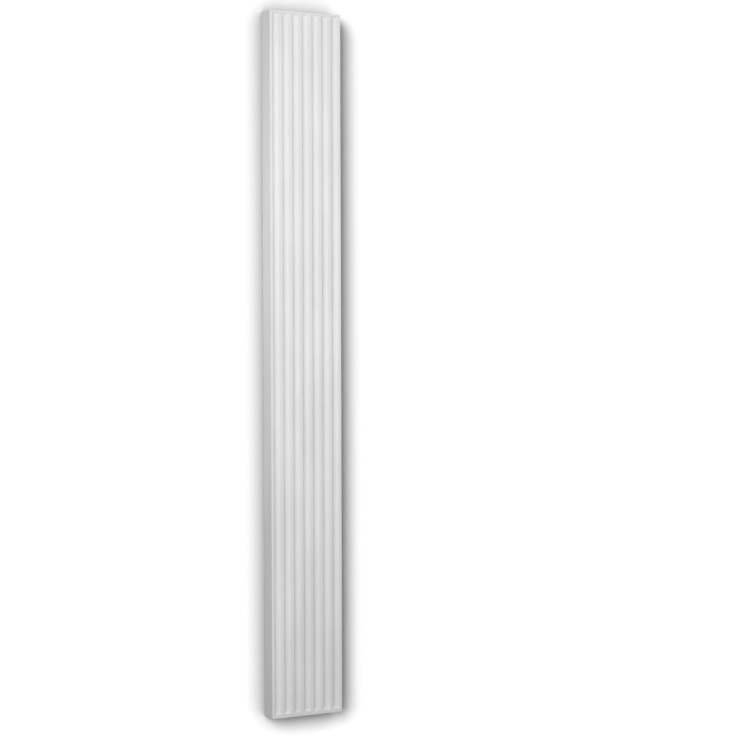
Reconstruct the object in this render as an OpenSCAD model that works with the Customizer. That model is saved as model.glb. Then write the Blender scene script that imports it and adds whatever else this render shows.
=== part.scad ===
// Fluted pilaster shaft: a flat-backed slab whose face carries a row of upright flutes.
// The back face lies in the XZ plane at y = 0, the fluted face looks along -Y,
// and the origin is the middle of the back face. Millimetres.

/* [Shaft] */
// Height of the shaft
shaft_h = 2000; // [400:10:3000]
// Width of the shaft
shaft_w = 224; // [184:1:320]
// Depth from the back to the fluted face
shaft_d = 50; // [20:1:120]

/* [Flutes] */
// How many flutes there are, side by side
flute_n = 7; // [2:1:8]
// Width of each flute at the face
flute_w = 22; // [12:0.5:28]
// Depth of each flute along its middle
flute_deep = 5.7; // [2:0.1:9]
// Flat border between a side of the shaft and the outer flute
border_w = 8; // [2:0.5:22]

/* [Flute ends] */
// Flat margin above the flutes
top_margin = 5.5; // [2:0.5:150]
// Flat margin below the flutes
foot_margin = 10.5; // [2:0.5:150]
// How many flats make up the rounded end of a flute
end_flats = 10; // [4:1:16]

/* [Hidden] */

// A flute is a shallow arc: its radius and half its opening angle follow from width and depth.
flute_r = (flute_w * flute_w / 4 + flute_deep * flute_deep) / (2 * flute_deep);
flute_half_angle = asin(flute_w / 2 / flute_r);

// The outer flutes keep to the borders, and the flutes share the width between them evenly.
outer_flute_x = (shaft_w - flute_w) / 2 - border_w;
flute_pitch = 2 * outer_flute_x / (flute_n - 1);

flute_foot_z = -shaft_h / 2 + foot_margin;
flute_top_z = shaft_h / 2 - top_margin;

// How far a cutter reaches out of the face, and the fineness of its round side
cutter_clear = 2;
cutter_fn = 96;

// Depth of the arc below the face, at an angle away from the middle of the flute
function arc_depth(angle) = flute_r * (cos(angle) - cos(flute_half_angle));

// Points of one flute end as [distance from its edge, depth], from the edge to full depth.
// The end has the same arc as the flute, so the two meet in mitres at the corners.
function end_arc() = [
    for (i = [0:end_flats])
        let (angle = flute_half_angle * (1 - i / end_flats))
            [flute_w / 2 - flute_r * sin(angle), arc_depth(angle)]
];

// The last flat carried on past full depth, so that it crosses the bottom of the flute
function past_bottom(arc) = 2 * arc[len(arc) - 1] - arc[len(arc) - 2];

function end_profile() = concat([[0, -cutter_clear]], end_arc(), [past_bottom(end_arc())]);

// The side view of a flute as [z, depth]: the foot end, then the top end backwards
function flute_side() =
    let (profile = end_profile(), last = len(profile) - 1)
        concat(
            [for (p = profile) [flute_foot_z + p[0], p[1]]],
            [for (i = [last:-1:0]) [flute_top_z - profile[i][0], profile[i][1]]]
        );

// Everything within the side view of a flute, as wide as the flute's round cutter
module flute_length() {
    rotate([0, 90, 0])
        linear_extrude(height = 2 * flute_r, center = true)
            polygon([for (p = flute_side()) [-p[0], p[1] - shaft_d]]);
}

// The round cutter, which runs the whole height of the shaft
module flute_round() {
    translate([0, flute_deep - flute_r - shaft_d, 0])
        cylinder(h = shaft_h, r = flute_r, center = true, $fn = cutter_fn);
}

module flute_cutter() {
    intersection() {
        flute_round();
        flute_length();
    }
}

module slab() {
    translate([-shaft_w / 2, -shaft_d, -shaft_h / 2])
        cube([shaft_w, shaft_d, shaft_h]);
}

module shaft() {
    color("white")
        difference() {
            slab();
            for (i = [0:flute_n - 1])
                translate([i * flute_pitch - outer_flute_x, 0, 0])
                    flute_cutter();
        }
}

shaft();
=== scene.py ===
"""Looks of a fluted pilaster shaft: one white primed moulding, fixed flat against a wall."""

import math

import bmesh
import bpy
from mathutils import Matrix, Vector


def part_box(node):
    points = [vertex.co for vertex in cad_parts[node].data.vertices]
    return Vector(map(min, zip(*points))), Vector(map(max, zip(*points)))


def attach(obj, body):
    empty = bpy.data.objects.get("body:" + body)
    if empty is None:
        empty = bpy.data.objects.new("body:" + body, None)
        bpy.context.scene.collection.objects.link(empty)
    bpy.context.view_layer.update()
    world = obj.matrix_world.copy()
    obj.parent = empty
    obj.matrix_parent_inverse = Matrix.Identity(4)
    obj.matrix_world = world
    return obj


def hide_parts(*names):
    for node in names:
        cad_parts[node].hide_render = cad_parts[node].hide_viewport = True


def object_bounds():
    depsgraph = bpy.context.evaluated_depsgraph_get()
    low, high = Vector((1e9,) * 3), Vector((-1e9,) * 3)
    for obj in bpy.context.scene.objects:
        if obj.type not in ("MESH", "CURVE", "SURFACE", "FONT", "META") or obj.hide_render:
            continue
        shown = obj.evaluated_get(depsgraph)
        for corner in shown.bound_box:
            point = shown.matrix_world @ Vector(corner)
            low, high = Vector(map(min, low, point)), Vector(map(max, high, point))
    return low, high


MM = 0.001

# ---------------------------------------------------------------- sizes, in metres

# The moulding, where the frame's own box doesn't say
FLUTE_DEPTH = 5.7 * MM
FLUTE_RINGS = 14  # flats from the edge of a flute down to the one along its bottom
OUTER_ARRIS = 0.9 * MM  # rounding of the outside corners
FLUTE_ARRIS = 0.45 * MM  # rounding of the edges of the flutes
ARRIS_SEGMENTS = 4
OVERSPRAY = 12 * MM  # how far primer blew onto the back

# How the mesh is read and shaded
SAME_PLACE = 0.01 * MM  # corners nearer than this along an axis are in line
SQUARELY = 0.99  # a face looks forwards or backwards when its normal does by this much
OUTER_TURN = math.radians(80)  # only the outside corners turn this sharply
FLUTE_TURN = math.radians(40)  # and, once those are rounded, the edges of the flutes this sharply
SMOOTH_BELOW = math.radians(32)  # sharper turns than this are creased
MITRE_STEP = 0.2 * MM  # an edge that runs further than this both across and along is part of a mitre
LARGEST_FACE_ONLY = 100  # weight at which the largest face alone sets the shading at a corner
ARRIS_LAYER = "arris"

# The stage
WALL_GAP = 1 * MM
WALL_HALF_WIDTH = 7.0
WALL_TOP = 6.0
FLOOR_DROP = 0.25  # how far the floor is below the foot of the shaft
FLOOR_REACH = 40.0  # so far that its edge stays out of sight from above

# The camera
CAMERA_LENS = 98.55
CAMERA_LEFT = math.radians(26.66)  # round to the left of the fluted face
CAMERA_AWAY = 5.773
CAMERA_UP = 0.177  # above the middle of the shaft
CAMERA_AIM = Vector((0.213, -0.025, -0.0106))
CAMERA_ROLL = math.radians(-0.147)

# Lights on the shaft: place, target, side of the soft box and watts
KEY_LIGHT = ((-1.22, -2.74, 0.5), (0, 0, 0), 1.05, 61)
OVERHEAD_LIGHT = ((0.5, -1.2, 1.2), (0, 0, 0.4), 1.4, 2.9)
SIDE_LIGHT = ((-1.0, 0.2, 0.4), (-0.11, -0.02, 0.5), 0.6, 2.3)
REAR_LIGHT = ((1.0, 1.8, 2.6), (0, 0, 0.2), 1.4, 60)
ROOM_LIGHT = 0.244
WALL_BOUNCE = 0.253  # added to the light from behind

# Light on the wall and floor, which are brighter than any paint and so stay white away from the shaft
STAGE_BRIGHTNESS = 1.12
WASH_FROM = Vector((-0.72, -0.60, 0.34))  # the upper left
WASH_STRENGTH = 3.9
WASH_SPREAD = math.radians(44)
SHADE_REACH = 0.08  # how far the shade painted on the wall and floor round the shaft goes
SHADE_DEPTH = 1.4  # above 1, the painted shade is darker


# ---------------------------------------------------------------- the moulding


def apart(values):
    """The different places among some nearly equal values, in order."""
    places = []
    for value in sorted(values):
        if not places or value - places[-1] > SAME_PLACE:
            places.append(value)
    return places


class Flutes:
    """Where the flutes lie on the fluted face, as the frame has them, and their round section."""

    def __init__(self, node):
        low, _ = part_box(node.name)
        corners = [v.co for v in node.data.vertices if v.co.y - low.y < SAME_PLACE]
        self.edges = apart(p.x for p in corners)[1:-1]
        self.ends = apart(p.z for p in corners)[1:-1]
        self.half_width = (self.edges[1] - self.edges[0]) / 2
        self.radius = (self.half_width**2 + FLUTE_DEPTH**2) / (2 * FLUTE_DEPTH)
        self.half_angle = math.asin(self.half_width / self.radius)

    def hold(self, point):
        """Whether a point of the face lies within a flute."""
        foot, top = self.ends
        across = zip(self.edges[0::2], self.edges[1::2])
        return foot < point.z < top and any(a < point.x < b for a, b in across)

    def ring(self, step):
        """Distance in from a flute's edge, and depth, after so many of its flats.

        The bottom flat straddles the middle, so only half of it counts.
        """
        angle = self.half_angle * (1 - step / (FLUTE_RINGS + 0.5))
        reach = self.half_width - self.radius * math.sin(angle)
        return reach, self.radius * (math.cos(angle) - math.cos(self.half_angle))


def slab(low, high):
    """The moulding before it is fluted."""
    bm = bmesh.new()
    bmesh.ops.create_cube(bm, size=1.0)
    bmesh.ops.scale(bm, vec=high - low, verts=bm.verts)
    bmesh.ops.translate(bm, vec=(low + high) / 2, verts=bm.verts)
    bm.normal_update()
    return bm


def front_faces(bm):
    """The faces that look straight forwards."""
    return [f for f in bm.faces if f.normal.y < -SQUARELY]


def score_front(bm, place, normal):
    """Scores a straight line right across the front."""
    faces = front_faces(bm)
    edges = dict.fromkeys(e for f in faces for e in f.edges)  # each once, in the same order every time
    verts = dict.fromkeys(v for f in faces for v in f.verts)
    bmesh.ops.bisect_plane(bm, geom=[*faces, *edges, *verts], plane_co=place, plane_no=normal)
    bm.normal_update()


def sink_flutes(bm, flutes):
    """Each flute goes down in rings, so that its ends are as round as its sides and meet them in mitres."""
    faces = [f for f in front_faces(bm) if flutes.hold(f.calc_center_median())]
    for step in range(FLUTE_RINGS):
        reach, depth = flutes.ring(step)
        next_reach, next_depth = flutes.ring(step + 1)
        bmesh.ops.inset_individual(
            bm,
            faces=faces,
            thickness=next_reach - reach,
            depth=depth - next_depth,
            use_even_offset=True,
        )
    bm.normal_update()


def round_arrises(bm, least_turn, size):
    """Rounds every edge where the surface turns outwards by more than this, and marks the rounding."""
    edges = [e for e in bm.edges if e.calc_face_angle_signed() > least_turn]
    rounded = bmesh.ops.bevel(
        bm,
        geom=edges,
        offset=size,
        offset_type="OFFSET",
        segments=ARRIS_SEGMENTS,
        profile=0.5,
        affect="EDGES",
        material=-1,
    )
    arris = bm.verts.layers.float[ARRIS_LAYER]
    faces = set(rounded["faces"])
    for vert in rounded["verts"]:
        vert[arris] = float(faces.issuperset(vert.link_faces))
    bm.normal_update()


def crease(bm):
    """Keeps sharp turns, and the mitres where a flute's ends meet its sides, crisp in the shading."""
    for edge in bm.edges:
        along = edge.verts[1].co - edge.verts[0].co
        mitre = min(abs(along.x), abs(along.z)) > MITRE_STEP
        edge.smooth = not mitre and edge.calc_face_angle(0.0) < SMOOTH_BELOW


def moulding(node):
    """The whole shaft as it comes out of its mould."""
    flutes = Flutes(node)
    bm = slab(*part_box(node.name))
    for x in flutes.edges:
        score_front(bm, (x, 0, 0), (1, 0, 0))
    for z in flutes.ends:
        score_front(bm, (0, 0, z), (0, 0, 1))
    sink_flutes(bm, flutes)
    bm.verts.layers.float.new(ARRIS_LAYER)
    round_arrises(bm, OUTER_TURN, OUTER_ARRIS)
    round_arrises(bm, FLUTE_TURN, FLUTE_ARRIS)
    crease(bm)
    for face in bm.faces:
        face.material_index = int(face.normal.y > SQUARELY)  # the back has the second finish
    return as_object(bm, "pilaster_shaft")


def as_object(bm, name):
    """An object from a bmesh, shaded smooth but for its creases."""
    mesh = bpy.data.meshes.new(name)
    bm.to_mesh(mesh)
    bm.free()
    mesh.polygons.foreach_set("use_smooth", [True] * len(mesh.polygons))
    piece = bpy.data.objects.new(name, mesh)
    bpy.context.scene.collection.objects.link(piece)
    return piece


def keep_flats_flat(piece):
    """Large flats keep their own shading right up to their small rounded edges."""
    weighted = piece.modifiers.new("flat_faces", "WEIGHTED_NORMAL")
    weighted.keep_sharp = True
    weighted.weight = LARGEST_FACE_ONLY


# ---------------------------------------------------------------- shader maths

MIX_SHARE, MIX_FIRST, MIX_SECOND, MIX_COLOUR = 0, 6, 7, 2  # sockets of a Mix node that mixes colours
NOISE_LOW, NOISE_HIGH = 0.3, 0.7  # noise seldom goes past these


def math_node(operation, swapped=False):
    """An operator of Socket that adds a Math node."""

    def operator(self, other):
        pair = (other, self) if swapped else (self, other)
        return self.graph.node("ShaderNodeMath", {"operation": operation}, dict(enumerate(pair)))

    return operator


class Socket:
    """An output of a node, which joins in plain sums."""

    def __init__(self, graph, link):
        self.graph = graph
        self.link = link

    __add__ = math_node("ADD")
    __radd__ = math_node("ADD", swapped=True)
    __sub__ = math_node("SUBTRACT")
    __rsub__ = math_node("SUBTRACT", swapped=True)
    __mul__ = math_node("MULTIPLY")
    __rmul__ = math_node("MULTIPLY", swapped=True)
    __pow__ = math_node("POWER")
    at_least = math_node("MAXIMUM")

    def __abs__(self):
        return self.graph.node("ShaderNodeMath", {"operation": "ABSOLUTE"}, {0: self})


class Graph:
    """The node tree of a material or of the world."""

    def __init__(self, owner):
        owner.use_nodes = True
        self.tree = owner.node_tree
        self.tree.nodes.clear()

    def node(self, kind, settings=None, values=None, out=0):
        """Adds a node, with its settings made first, then its sockets' values or links. Gives an output."""
        made = self.tree.nodes.new(kind)
        for name, setting in (settings or {}).items():
            setattr(made, name, setting)
        for name, value in (values or {}).items():
            if isinstance(value, Socket):
                self.tree.links.new(value.link, made.inputs[name])
            else:
                made.inputs[name].default_value = value
        return Socket(self, made.outputs[out]) if made.outputs else None

    def place(self, lengthwise=1):
        """The place on the piece, in metres. A pattern is drawn out along the shaft by a scale under 1."""
        where = self.node("ShaderNodeTexCoord", out="Object")
        return self.node("ShaderNodeMapping", values={"Vector": where, "Scale": (1, 1, lengthwise)})

    def along(self, axis):
        """The place along one axis, in metres."""
        return self.node("ShaderNodeSeparateXYZ", values={"Vector": self.place()}, out=axis)

    def noise(self, per_metre, lengthwise=1, detail=2):
        """Soft noise around a half, with so many blots to a metre across the shaft."""
        values = {"Vector": self.place(lengthwise), "Scale": per_metre, "Detail": detail}
        return self.node("ShaderNodeTexNoise", values=values)

    def stretched(self, noise):
        """Noise that runs all the way from 0 to 1."""
        return self.ramp(noise, NOISE_LOW, NOISE_HIGH)

    def specks(self, per_metre, radius):
        """Round specks of 1 in a field of 0, scattered so many to a metre each way."""
        values = {"Vector": self.place(), "Scale": per_metre}
        away = self.node("ShaderNodeTexVoronoi", values=values, out="Distance")
        return 1 - self.ramp(away, 0, radius * per_metre)

    def ramp(self, value, low, high):
        """0 below low, 1 above high and smooth between."""
        values = {"Value": value, "From Min": low, "From Max": high}
        return self.node("ShaderNodeMapRange", {"interpolation_type": "SMOOTHSTEP"}, values)

    def mix(self, share, first, second):
        """A colour between two, each a colour or a link."""
        values = {MIX_SHARE: share}
        for socket, colour in ((MIX_FIRST, first), (MIX_SECOND, second)):
            values[socket] = colour if isinstance(colour, Socket) else (*colour, 1)
        return self.node("ShaderNodeMix", {"data_type": "RGBA"}, values, out=MIX_COLOUR)


# ---------------------------------------------------------------- finishes

# Patterns are given in blots to a metre, sizes of specks in metres and relief in millimetres.

PRIMER = (0.836, 0.836, 0.836)
PRIMER_THIN_AND_PIT_SHADE = (0.76, 0.76, 0.758)  # where the spray runs thin, and the painted shade in pinholes
# the darker skin colour also serves as painted shade in the pores
BARE_SKIN_AND_PORE_SHADE = (0.72, 0.70, 0.645)
BARE_SKIN_PALE = (0.80, 0.79, 0.755)


def material(name):
    """A new material and its empty node tree."""
    mat = bpy.data.materials.new(name)
    return mat, Graph(mat)


def surface(graph, colour, roughness, height):
    """Joins up a surface whose relief is given in millimetres."""
    bump = graph.node("ShaderNodeBump", values={"Distance": MM, "Height": height})
    values = {"Base Color": colour, "Roughness": roughness, "Normal": bump}
    bsdf = graph.node("ShaderNodeBsdfPrincipled", values=values)
    graph.node("ShaderNodeOutputMaterial", values={"Surface": bsdf})


def primed_skin():
    """White factory primer, sprayed lengthwise over the smooth skin of the moulding."""
    mat, graph = material("white_primer")
    clouds = graph.stretched(graph.noise(16, lengthwise=0.3, detail=3))
    draws = graph.stretched(graph.noise(230, lengthwise=0.015))
    peel = graph.noise(260, detail=1)
    grain = graph.noise(1700)
    pinholes = graph.specks(70, 0.5 * MM)
    nibs = graph.specks(47, 0.8 * MM)
    arris = graph.node("ShaderNodeAttribute", {"attribute_name": ARRIS_LAYER}, out="Fac")

    # pinholes are darkened in colour as well as sunk: painted shade in the pits
    cover_and_pit_shade = clouds * 0.6 + draws * 0.25 + grain * 0.3 - arris * 0.6 - pinholes * 0.8
    colour = graph.mix(cover_and_pit_shade, PRIMER_THIN_AND_PIT_SHADE, PRIMER)
    roughness = 0.48 + clouds * 0.1 + draws * 0.1 + peel * 0.1 - arris * 0.08 + pinholes * 0.2
    height = peel * 0.24 + draws * 0.03 + grain * 0.06 - pinholes * 0.3 + nibs * 0.15
    surface(graph, colour, roughness, height)
    return mat


def bare_back(half_width, half_height):
    """The back, planed flat for the glue: bare but for primer that blew round its edges."""
    mat, graph = material("planed_back")
    mottle = graph.noise(28, lengthwise=0.4, detail=4)
    lines = graph.noise(520, lengthwise=0.008)
    pores = graph.specks(160, 0.7 * MM)
    grain = graph.noise(2000)

    past_edge = (abs(graph.along("X")) - half_width).at_least(abs(graph.along("Z")) - half_height)
    ragged = past_edge + mottle * OVERSPRAY  # so that the fade follows the mottle in and out
    overspray = graph.ramp(ragged, -0.6 * OVERSPRAY, 0.4 * OVERSPRAY)

    tone = graph.stretched(mottle) * 0.6 + graph.stretched(lines) * 0.4
    # pores are darkened in colour as well as sunk: painted shade in them
    skin = graph.mix(tone - pores * 0.8, BARE_SKIN_AND_PORE_SHADE, BARE_SKIN_PALE)
    colour = graph.mix(overspray, skin, PRIMER)
    roughness = 0.86 - lines * 0.16 - overspray * 0.15
    height = lines * 0.12 + mottle * 0.3 + grain * 0.05 - pores * (0.5 - overspray * 0.3)
    surface(graph, colour, roughness, height)
    return mat


# ---------------------------------------------------------------- stage, light and camera


def stage_sheet(name, middle, turn, half_sides, mat):
    """A flat stage piece, seen by the camera only, so that it throws no light of its own on the shaft."""
    bm = bmesh.new()
    bmesh.ops.create_grid(bm, x_segments=1, y_segments=1, size=1.0)
    bmesh.ops.scale(bm, vec=(*half_sides, 1), verts=bm.verts)
    bmesh.ops.transform(bm, matrix=Matrix.Translation(middle) @ turn, verts=bm.verts)
    sheet = as_object(bm, name)
    sheet.data.materials.append(mat)
    for ray in ("diffuse", "glossy", "transmission", "shadow"):
        setattr(sheet, f"visible_{ray}", False)
    return sheet


def one_sided_white_with_painted_shade():
    """Matt white that is clear from behind, so that the back of the shaft can be looked at, with shade
    painted into its colour close round the shaft.
    """
    mat, graph = material("stage_white_painted_shade")
    # painted shade: the white is darkened by ambient occlusion close round the shaft
    painted_shade = graph.node("ShaderNodeAmbientOcclusion", values={"Distance": SHADE_REACH}, out="AO")
    white = graph.node("ShaderNodeBsdfDiffuse", values={"Color": painted_shade**SHADE_DEPTH * STAGE_BRIGHTNESS})
    clear = graph.node("ShaderNodeBsdfTransparent")
    behind = graph.node("ShaderNodeNewGeometry", out="Backfacing")
    shown = graph.node("ShaderNodeMixShader", values={0: behind, 1: white, 2: clear})
    graph.node("ShaderNodeOutputMaterial", values={"Surface": shown})
    return mat


def stage(low, high):
    """A white wall that the shaft is fixed to and a pale floor below it."""
    white = one_sided_white_with_painted_shade()
    floor_z = low.z - FLOOR_DROP
    upright = Matrix.Rotation(math.pi / 2, 4, "X")
    middle = Vector((0, high.y + WALL_GAP, (floor_z + WALL_TOP) / 2))
    wall = stage_sheet("wall", middle, upright, (WALL_HALF_WIDTH, (WALL_TOP - floor_z) / 2), white)
    level = Vector((0, 0, floor_z))
    floor = stage_sheet("floor", level, Matrix(), (FLOOR_REACH, FLOOR_REACH), white)
    return [wall, floor]


def room_light():
    """Soft light from all round, with more from behind, where it stands for light off the wall.

    The camera sees plain white in its place.
    """
    world = bpy.data.worlds.new("room")
    graph = Graph(world)
    direction = graph.node("ShaderNodeTexCoord", out="Generated")
    values = {0: direction, 1: (0, 1, 0)}
    backwards = graph.node("ShaderNodeVectorMath", {"operation": "DOT_PRODUCT"}, values, out="Value")
    lighting = ROOM_LIGHT + backwards.at_least(0) * WALL_BOUNCE
    seen = graph.node("ShaderNodeLightPath", out="Is Camera Ray")
    values = {"Color": (1, 1, 1, 1), "Strength": lighting * (1 - seen) + seen}
    background = graph.node("ShaderNodeBackground", values=values)
    graph.node("ShaderNodeOutputWorld", values={"Surface": background})
    bpy.context.scene.world = world


def aimed(place, target):
    """The turn and place of a light or a camera that looks at a target."""
    turn = (Vector(target) - Vector(place)).to_track_quat("-Z", "Y").to_matrix().to_4x4()
    return Matrix.Translation(place) @ turn


def camera():
    """A long lens, round to the left of the shaft and a little above its middle."""
    data = bpy.data.cameras.new("camera")
    data.lens = CAMERA_LENS
    cam = bpy.data.objects.new("camera", data)
    back = Vector((-math.sin(CAMERA_LEFT), -math.cos(CAMERA_LEFT), 0))
    place = back * CAMERA_AWAY + Vector((0, 0, CAMERA_UP))
    cam.matrix_world = aimed(place, CAMERA_AIM) @ Matrix.Rotation(CAMERA_ROLL, 4, "Z")
    bpy.context.scene.collection.objects.link(cam)
    bpy.context.scene.camera = cam


def light(data, place, target, lit):
    """Puts a light in its place, to light only the objects given."""
    lamp = bpy.data.objects.new(data.name, data)
    lamp.matrix_world = aimed(place, target)
    bpy.context.scene.collection.objects.link(lamp)
    receivers = bpy.data.collections.new("lit_by_" + data.name)
    for obj in lit:
        receivers.objects.link(obj)
    lamp.light_linking.receiver_collection = receivers


def soft_box(name, place, target, side, watts, lit):
    """A square soft light."""
    data = bpy.data.lights.new(name, "AREA")
    data.shape = "SQUARE"
    data.size = side
    data.energy = watts
    light(data, place, target, lit)


def wall_wash(lit):
    """Even light from the upper left, which draws the soft shade beside and below the shaft."""
    data = bpy.data.lights.new("wall_wash", "SUN")
    data.energy = WASH_STRENGTH
    data.angle = WASH_SPREAD
    light(data, WASH_FROM, (0, 0, 0), lit)


# ---------------------------------------------------------------- the scene

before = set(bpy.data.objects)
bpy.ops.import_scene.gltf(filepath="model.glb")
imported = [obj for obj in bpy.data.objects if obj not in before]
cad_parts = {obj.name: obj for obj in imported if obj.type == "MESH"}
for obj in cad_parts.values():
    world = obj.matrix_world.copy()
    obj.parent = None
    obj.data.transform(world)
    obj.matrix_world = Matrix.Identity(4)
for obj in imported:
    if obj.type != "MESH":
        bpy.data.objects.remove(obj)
cad_low, cad_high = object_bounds()

shaft = moulding(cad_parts["shaft"])
shaft.data.materials.append(primed_skin())
shaft.data.materials.append(bare_back(cad_high.x, cad_high.z))
keep_flats_flat(shaft)
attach(shaft, "root")
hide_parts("shaft")

camera()
room_light()
soft_box("key", *KEY_LIGHT, [shaft])
soft_box("overhead", *OVERHEAD_LIGHT, [shaft])
soft_box("off_the_wall", *SIDE_LIGHT, [shaft])
soft_box("rear", *REAR_LIGHT, [shaft])
wall_wash(stage(cad_low, cad_high))
bpy.context.scene.view_settings.view_transform = "Standard"
